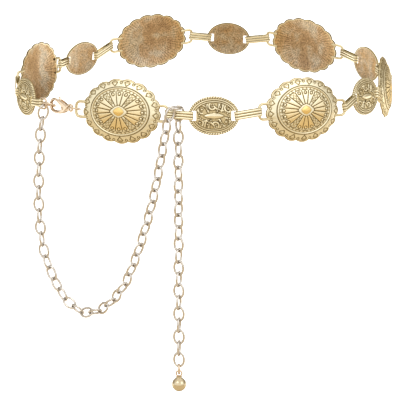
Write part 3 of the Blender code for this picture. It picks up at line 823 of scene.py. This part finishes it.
def rose_gold(name, pale, deep, edge="A89C8C"):
    """Brass polished to a mirror and plated in rose gold.

    It gives the eye pale pinkish wire, bright on its crown and darker at its edges.
    """
    made, tree, surface = new_metal(name, edge)
    cloud = noise(tree, 5, detail=2)
    tree.links.new(mix(tree, cloud, linear(pale), linear(deep)), surface.inputs["Base Color"])
    tree.links.new(rescale(tree, cloud, 0, 1, 0.12, 0.22), surface.inputs["Roughness"])
    return made


polished = rose_gold("polished_rose_gold_clasp", "E8DAC8", "D8C2AA")


def oval_link(half_length, half_width, wire):
    """A round wire ring stretched to an oval on X without thinning its wire."""
    bpy.ops.object.select_all(action="DESELECT")
    bpy.ops.mesh.primitive_torus_add(
        major_radius=half_width, minor_radius=wire, major_segments=28, minor_segments=10
    )
    obj = bpy.context.object
    for vertex in obj.data.vertices:
        vertex.co.x += (half_length - half_width) * vertex.co.x / vertex.co.xy.length
    obj.data.materials.append(polished)
    bpy.ops.object.shade_smooth()
    return obj


def swept(sections, closed=False, sides=14):
    """A bar drawn through sections: x, y, half thickness across the path and along Z, in m.

    A circle is extruded from each section to the next and turned to face along the path.
    """
    bpy.ops.object.select_all(action="DESELECT")
    bpy.ops.mesh.primitive_circle_add(vertices=sides, radius=1)
    obj = bpy.context.object
    edit(obj)
    count = len(sections)
    round_off = [vertex.co.copy() for vertex in obj.data.vertices]
    for i, (x, y, across, depth) in enumerate(sections):
        if i:
            bpy.ops.mesh.extrude_edges_move()
        ahead = sections[(i + 1) % count] if closed or i + 1 < count else sections[i]
        behind = sections[i - 1] if closed or i else sections[i]
        way = Vector((ahead[0] - behind[0], ahead[1] - behind[1], 0)).normalized()
        beside = Vector((-way.y, way.x, 0))
        work = bmesh.from_edit_mesh(obj.data)
        new = sorted((v for v in work.verts if v.select), key=lambda v: v.index)
        for vertex, unit in zip(new, round_off):
            place = Vector((x, y, 0)) + beside * unit.x * across
            vertex.co = place + Vector((0, 0, unit.y * depth))
        bmesh.update_edit_mesh(obj.data)
    bpy.ops.mesh.select_all(action="DESELECT")
    bpy.ops.mesh.select_non_manifold()
    if closed:
        bpy.ops.mesh.bridge_edge_loops()
    else:
        bpy.ops.mesh.fill()
    bpy.ops.object.mode_set(mode="OBJECT")
    obj.data.materials.append(polished)
    finish_mesh(obj)
    return obj


def smooth_table(rows, steps):
    """The rows with steps - 1 more between each two, along a Catmull-Rom curve."""
    ends = [np.array(row, dtype=float) for row in rows]
    ends = [2 * ends[0] - ends[1], *ends, 2 * ends[-1] - ends[-2]]
    made = []
    for a, b, c, d in zip(ends, ends[1:], ends[2:], ends[3:]):
        for i in range(steps):
            t = i / steps
            made.append(
                0.5 * (2 * b + (c - a) * t + (2 * a - 5 * b + 4 * c - d) * t**2
                       + (3 * b - a - 3 * c + d) * t**3)
            )
    return [*made, ends[-2]]


def plate(outline, thickness, bevel):
    """A flat plate cut to an outline in mm, extruded to its thickness, its edges rounded."""
    mesh = bpy.data.meshes.new("plate")
    points = [(x * MM, y * MM, -thickness / 2) for x, y in outline]
    mesh.from_pydata(points, [], [list(range(len(points)))])
    obj = new_object("plate", mesh)
    edit(obj)
    bpy.ops.mesh.extrude_region_move(TRANSFORM_OT_translate={"value": (0, 0, thickness)})
    finish_mesh(obj, 30)
    soft = obj.modifiers.new("Round", "BEVEL")
    soft.width = bevel
    soft.segments = 3
    soft.limit_method = "ANGLE"
    soft.angle_limit = math.radians(50)
    bpy.ops.object.modifier_apply(modifier=soft.name)
    obj.data.materials.append(polished)
    return obj


def cylinder(radius, depth, location):
    """A round bar on Z: the clasp's rivet, or the cutter for its hole in the lever."""
    bpy.ops.object.select_all(action="DESELECT")
    bpy.ops.mesh.primitive_cylinder_add(vertices=24, radius=radius, depth=depth, location=location)
    obj = bpy.context.object
    bpy.ops.object.transform_apply(location=True)
    obj.data.materials.append(polished)
    return obj


# From here on X runs from the end strap to the first concho, Y is up and Z faces out.
closing = closing_line @ Matrix.Rotation(math.pi / 2, 4, "X")
HARDWARE = "polished_pale_gold"

HALF_RING = (
    # along from the strap's fold and up in mm; the lower half is the same turned over
    (0, 2.2), (0.5, 2.9), (1.6, 3.2), (4.2, 3.2), (5.7, 2.5), (6.5, 1.2),
)
ring_path = HALF_RING + tuple((x, -y) for x, y in reversed(HALF_RING))
ring_path = smooth_table((*ring_path, ring_path[0]), 3)[:-1]
sections = [(END_STRAP + x * MM, y * MM, END_RING_WIRE, END_RING_WIRE) for x, y in ring_path]
set_once("end_ring", swept(sections, closed=True), closing, finish=HARDWARE)


def join_link(name, left, right, half_width, wire, roll):
    """A link on the closing line whose wire runs through left and right, rolled about it."""
    model = oval_link((right - left) / 2, half_width, wire)
    rolled = Matrix.Translation(((left + right) / 2, 0, 0))
    rolled = closing @ rolled @ Matrix.Rotation(math.radians(roll), 4, "X")
    set_once(name, model, rolled, finish=HARDWARE)


left_wire = END_STRAP + END_RING_BOW - END_RING_WIRE - CLOSING_GAP - CHAIN_WIRE
right_wire = CLASP_BOW + CLAW_WIRE + 2 * CLOSING_GAP + CHAIN_WIRE
join_link("held_link", left_wire, right_wire, CHAIN_HALF_WIDTH, CHAIN_WIRE, 70)

CLAW = (
    # along from the bow and up in mm, half thickness across and out of the face in mm
    (5.9, 3.3, 0.55, 0.7),
    (5.2, 3.6, 0.8, 0.85),
    (3.2, 3.7, 0.9, 0.95),
    (1.3, 2.9, 0.95, 1.0),
    (0.1, 1.3, 0.95, 1.0),
    (0.0, -0.9, 0.95, 1.0),
    (1.1, -2.6, 0.95, 1.05),
    (3.6, -3.5, 0.95, 1.15),
    (7.6, -3.7, 1.0, 1.3),
    (12.0, -3.2, 1.1, 1.45),
    (15.5, -1.7, 1.2, 1.5),
)
CHEEK = (
    # along from the bow and up in mm
    (8.6, 4.0), (10.0, 4.0), (13.9, 2.75), (18.2, 1.1), (19.4, 0.5), (19.4, -0.5), (18.2, -1.4),
    (15.2, -3.4), (12.0, -4.2), (9.5, -4.3), (9.5, -3.0), (12.2, -2.1), (12.7, -0.7),
    (11.6, 1.2), (9.5, 2.4),
)
LEVER = (
    # along and up from its pivot in mm
    (0, -1.7), (1.2, -1.2), (1.7, 0), (1.2, 1.2), (0.2, 1.8), (-3.7, 2.7), (-4.7, 6.4),
    (-6.0, 6.7), (-5.5, 3.7), (-7.8, 4.9), (-8.5, 3.6), (-2.0, 0.3), (-1.7, -0.2),
    (-1.2, -1.2),
)
LEVER_THICK = 1.2 * MM
LEVER_SLOT_MIDDLE = (CLASP_BOW + 11.4 * MM, 2.6 * MM)
LEVER_SLOT = (9.8 * MM, 11.2 * MM)
CLASP_THICK = 3.2 * MM

claw = swept(
    [(CLASP_BOW + x * MM, y * MM, a * MM, d * MM) for x, y, a, d in smooth_table(CLAW, 3)]
)
cheeks = plate([(CLASP_BOW / MM + x, y) for x, y in CHEEK], CLASP_THICK, 0.55 * MM)
# The lever's slot is milled out between the cheeks.
bpy.ops.object.select_all(action="DESELECT")
bpy.ops.mesh.primitive_cube_add(size=1, location=(*LEVER_SLOT_MIDDLE, 0))
block = bpy.context.object
block.scale = (*LEVER_SLOT, LEVER_THICK + 2 * CLOSING_GAP)
bpy.ops.object.transform_apply(location=True, scale=True)
subtract(cheeks, block)
rivet = cylinder(RIVET, CLASP_THICK + 0.5 * MM, (*CLASP_PIVOT, 0))
edit(rivet)
bpy.ops.mesh.bevel(offset=0.2 * MM, segments=3)
bpy.ops.object.mode_set(mode="OBJECT")
eye = oval_link(EYE_RADIUS, EYE_RADIUS, EYE_WIRE)
eye.data.transform(Matrix.Translation((CLASP_EYE, 0, 0)))
model = join(claw, cheeks, rivet, eye)
bpy.ops.object.shade_smooth_by_angle(angle=math.radians(35))
set_once("clasp_body", model, closing, finish=HARDWARE)

model = plate(LEVER, LEVER_THICK, 0.35 * MM)
subtract(model, cylinder(RIVET + 0.15 * MM, 4 * MM, (0, 0, 0)))
bpy.ops.object.shade_smooth_by_angle(angle=math.radians(35))
pivot = closing @ Matrix.Translation((*CLASP_PIVOT, 0))
set_once("clasp_lever", model, pivot, body="lever", finish=HARDWARE)

eye_wire = CLASP_EYE + EYE_RADIUS - EYE_WIRE - CLOSING_GAP - CLASP_RING_WIRE
bar_wire = closing_length + LOOP_WIRE + CLOSING_GAP + CLASP_RING_WIRE
join_link("clasp_ring", eye_wire, bar_wire, CLASP_RING_HALF_WIDTH, CLASP_RING_WIRE, 80)

# Chain. Oval links of 1.5 mm wire, each turned about a quarter from the next. It hangs from the
# D ring in a swag, goes over the first strap and falls behind it as a tail. A paler rose gold.

CHAIN_PITCH = 7.4 * MM
TAIL_PITCH = 7.17 * MM
LINKS_PER_NODE = 10
TAIL_LINKS = 21
SWAG = (
    # share of the way across, height mm
    (-0.036, -23.0),
    (-0.060, -52.0),
    (-0.062, -75.0),
    (-0.030, -97.0),
    (0.030, -110.0),
    (0.112, -121.5),
    (0.220, -129.0),
    (0.350, -130.5),
    (0.500, -123.0),
    (0.634, -109.0),
    (0.712, -95.0),
    (0.798, -75.0),
    (0.884, -50.0),
    (0.942, -27.0),
)
OVER = (
    # along the strap, inwards and up in mm
    (1.8, -5.6, -3.2),
    (4.0, -4.8, 3.9),
    (5.6, 3.1, 4.0),
    (5.4, 3.7, -3.1),
)
OVER_ROLLS = (54, 0, -5)


def even_joints(route, count):
    """count + 1 points spaced evenly along the route."""
    lengths = [(b - a).length for a, b in zip(route, route[1:])]
    pitch = sum(lengths) / count
    joints = [route[0]]
    travelled = 0.0
    for a, b, length in zip(route, route[1:], lengths):
        while len(joints) < count and travelled + length >= len(joints) * pitch:
            joints.append(a.lerp(b, (len(joints) * pitch - travelled) / length))
        travelled += length
    return [*joints, route[-1]]


chain_metal = rose_gold("polished_pale_rose_gold_chain", "DEDCDA", "CEC8C2")


def run_of_links(name, joints, rolls, facing):
    """One object of the links between these joints, each oval as long as its gap needs."""
    work = bmesh.new()
    for i, (begin, stop) in enumerate(zip(joints, joints[1:])):
        gap = (stop - begin).length
        link = oval_link(gap / 2 + CHAIN_WIRE, CHAIN_HALF_WIDTH, CHAIN_WIRE)
        matrix = axes((begin + stop) / 2, stop - begin, facing[i])
        link.data.transform(matrix @ Matrix.Rotation(math.radians(rolls[i]), 4, "X"))
        work.from_mesh(link.data)
        put_away(link)
    mesh = bpy.data.meshes.new(name)
    work.to_mesh(mesh)
    work.free()
    mesh.materials.clear()
    mesh.materials.append(chain_metal)
    mesh.shade_smooth()
    set_once(name, bpy.data.objects.new("run", mesh), Matrix(), finish=HARDWARE)


front = Vector((0, -1, 0))
upward = Vector((0, 0, 1))
over = [first_strap @ (Vector(point) * MM) for point in OVER]
# The swag starts low in the D ring's bow.
hang = closing @ Vector((END_STRAP + 4.2 * MM, -1.9 * MM, 0))
across = Vector((over[0].x - hang.x, over[0].y - hang.y, 0))
foot = Vector((hang.x, hang.y, 0))
route = [hang]
route += [foot + across * share + upward * height * MM for share, height in SWAG]
route += [over[0]]
route = [Vector(point) for point in smooth_table(route, 12)]
length = sum((b - a).length for a, b in zip(route, route[1:]))
count = round(length / CHAIN_PITCH)
joints = even_joints(route, count)
# The links are rolled a little on the way down, and by up to 45 degrees from the swag's foot on.
twists = [14 + 31 * min(1.0, max(0.0, (i - 11) / 6)) for i in range(count)]
twists[0] = -17
rolls = [90 * (i % 2) + twist for i, twist in enumerate(twists)]
for number in range(math.ceil(count / LINKS_PER_NODE)):
    low = number * LINKS_PER_NODE
    high = min(count, low + LINKS_PER_NODE)
    run_of_links(
        f"chain_swag_{number + 1}", joints[low : high + 1], rolls[low:high], [front] * (high - low)
    )
out = -first_strap.col[1].to_3d()
run_of_links("chain_over", over, OVER_ROLLS, [out, upward, out])
tail = [over[-1] - upward * TAIL_PITCH * i for i in range(TAIL_LINKS + 1)]
# The tail's twist runs out towards its end.
rolls = [90 * (i % 2) + 10 + 55 * max(0.0, 1 - i / 18) for i in range(TAIL_LINKS)]
for number, (low, high) in enumerate(((0, LINKS_PER_NODE), (LINKS_PER_NODE, TAIL_LINKS))):
    run_of_links(
        f"chain_tail_{number + 1}", tail[low : high + 1], rolls[low:high], [front] * (high - low)
    )

# Ball drop. A ball turned in brass with its collar and a wire eye soldered on top; it hangs
# from a small link on the tail's end and swings on it. Polished, with a warmer gold plate.

BALL_RADIUS = 4.3 * MM
DROP_EYE_RADIUS = 1.7 * MM
DROP_EYE_WIRE = 0.5 * MM
DROP_LINK_HALF = 2.6 * MM
DROP_LINK_HALF_WIDTH = 2.0 * MM

# The small link's wire runs just over the tail's last joint.
top_wire = tail[-1].z + 0.25 * MM
model = oval_link(DROP_LINK_HALF, DROP_LINK_HALF_WIDTH, CHAIN_WIRE)
middle = Vector((tail[-1].x, tail[-1].y, top_wire - DROP_LINK_HALF))
edge_on = axes(middle, -upward, Vector((1, 0, 0)))
set_once("drop_link", model, edge_on, finish=HARDWARE)

swing = Vector((tail[-1].x, tail[-1].y, top_wire - 2 * DROP_LINK_HALF))
eye_centre = -(DROP_EYE_RADIUS - DROP_EYE_WIRE - CHAIN_WIRE - CLOSING_GAP)
collar_top = eye_centre - DROP_EYE_RADIUS
ball_centre = collar_top - 1.0 * MM - BALL_RADIUS
TURNED = (
    # radius and height over the ball's centre in mm, from the top down
    (0, 5.3), (1.5, 5.3), (1.75, 5.05), (1.75, 4.55), (1.6, 4.3), (1.75, 4.1), (2.2, 3.75),
)
warm_gold = rose_gold("polished_warm_gold_drop", "E8DEC4", "D2C2A2", edge="5C4E3A")
curve = [math.radians(a) for a in range(54, -91, -6)]
profile = [(x * MM, z * MM) for x, z in TURNED]
profile += [(BALL_RADIUS * math.cos(a), BALL_RADIUS * math.sin(a)) for a in curve]
mesh = bpy.data.meshes.new("ball")
lines = [(i, i + 1) for i in range(len(profile) - 1)]
mesh.from_pydata([(x, 0, z + ball_centre) for x, z in profile], lines, [])
ball = new_object("ball", mesh)
edit(ball)
bpy.ops.mesh.spin(steps=48, angle=2 * math.pi, center=(0, 0, 0), axis=(0, 0, 1))
ball.data.materials.append(warm_gold)
finish_mesh(ball)
eye = oval_link(DROP_EYE_RADIUS, DROP_EYE_RADIUS, DROP_EYE_WIRE)
eye.data.transform(Matrix.Translation((0, 0, eye_centre)) @ Matrix.Rotation(math.pi / 2, 4, "X"))
model = join(ball, eye)
bpy.ops.object.shade_smooth_by_angle(angle=math.radians(35))
set_once("ball_drop", model, Matrix.Translation(swing), body="drop", finish=HARDWARE)

# Stage. A plain pale floor well below the drop, a soft studio light and the photo's camera,
# which stands in front of the belt and looks down on it a little.

FLOOR_HEIGHT = -0.45
LOOK_DOWN = 14.9  # degrees


def soft_light(name, location, size, power):
    """A square softbox that faces the belt's middle."""
    data = bpy.data.lights.new(name, "AREA")
    data.shape = "SQUARE"
    data.size = size
    data.energy = power
    obj = new_object(name, data)
    obj.location = location
    aim = Vector((0, 0, -0.05)) - Vector(location)
    obj.rotation_euler = aim.to_track_quat("-Z", "Y").to_euler()


soft_light("key", (-0.9, -1.3, 1.5), 1.1, 5)
soft_light("fill", (1.3, -0.9, 0.9), 1.0, 3)
soft_light("top", (0.1, 0.5, 1.6), 1.2, 5)


def studio_walls():
    """The room round the belt, for it to mirror.

    Pale walls on the camera's side, greyer ones behind, a pale ceiling, and brown below, where
    the floor lies in shade.
    """
    sky = bpy.data.worlds.new("studio")
    sky.use_nodes = True
    tree = sky.node_tree
    way = add_node(tree, "TexCoord")
    parts = add_node(tree, "SeparateXYZ", {"Vector": way.outputs["Generated"]})
    stops = (
        (0.0, "F2ECE0"),
        (0.05, "F4EEE4"),
        (0.13, "F0EEEA"),
        (0.42, "EFEDE8"),
        (0.55, "A69C8C"),
        (1.0, "B0A898"),
    )
    walls = ramp_of(tree, rescale(tree, parts.outputs["Y"], -1, 1), stops)
    up = rescale(tree, parts.outputs["Z"], 0.35, 0.8)
    ceiling = mix(tree, up, walls, linear("E0DAD0"))
    down = rescale(tree, parts.outputs["Z"], 0, -0.4)
    light = tree.nodes["Background"]
    tree.links.new(mix(tree, down, ceiling, linear("8E7C62")), light.inputs["Color"])
    light.inputs["Strength"].default_value = 1.3
    return sky


def floor_paper():
    """White studio paper.

    It is cream towards the camera, which is painted shade, and behind the belt it glows white
    with painted light, though no lamp is there, a little less so at both sides.
    """
    made = bpy.data.materials.new("paper_floor_with_painted_light")
    made.use_nodes = True
    tree = made.node_tree
    surface = tree.nodes["Principled BSDF"]
    place = add_node(tree, "TexCoord")
    parts = add_node(tree, "SeparateXYZ", {"Vector": place.outputs["Object"]})
    # Painted shade and light: cream towards the camera, white behind the belt.
    back = rescale(tree, parts.outputs["Y"], -0.1, 0.5)
    paper = ramp_of(tree, back, ((0, "E2D2B6"), (1, "FFFFFF")))
    tree.links.new(paper, surface.inputs["Base Color"])
    surface.inputs["Roughness"].default_value = 0.9
    # Painted light: the paper glows behind the belt, a little less at both sides.
    aside = add_node(tree, "Math", {0: parts.outputs["X"]}, operation="ABSOLUTE")
    middle = rescale(tree, aside.outputs["Value"], 1.0, 0.55, 0.7, 1)
    painted_glow = add_node(tree, "Math", {0: back, 1: middle}, operation="MULTIPLY")
    tree.links.new(painted_glow.outputs["Value"], surface.inputs["Emission Strength"])
    surface.inputs["Emission Color"].default_value = (1, 1, 1, 1)
    return made


bpy.ops.object.select_all(action="DESELECT")
bpy.ops.mesh.primitive_plane_add(size=12, location=(0, 0, FLOOR_HEIGHT))
floor = bpy.context.object
floor.name = "floor"
floor.data.materials.append(floor_paper())
bpy.context.scene.world = studio_walls()

lens = bpy.data.cameras.new("photo")
lens.sensor_width = 36
lens.lens = 175.68
camera = new_object("photo", lens)
camera.location = (-3.8 * MM, -1220.3 * MM, 243.8 * MM)
camera.rotation_euler = (math.radians(90 - LOOK_DOWN), 0, 0)
bpy.context.scene.camera = camera
bpy.context.scene.view_settings.view_transform = "Standard"
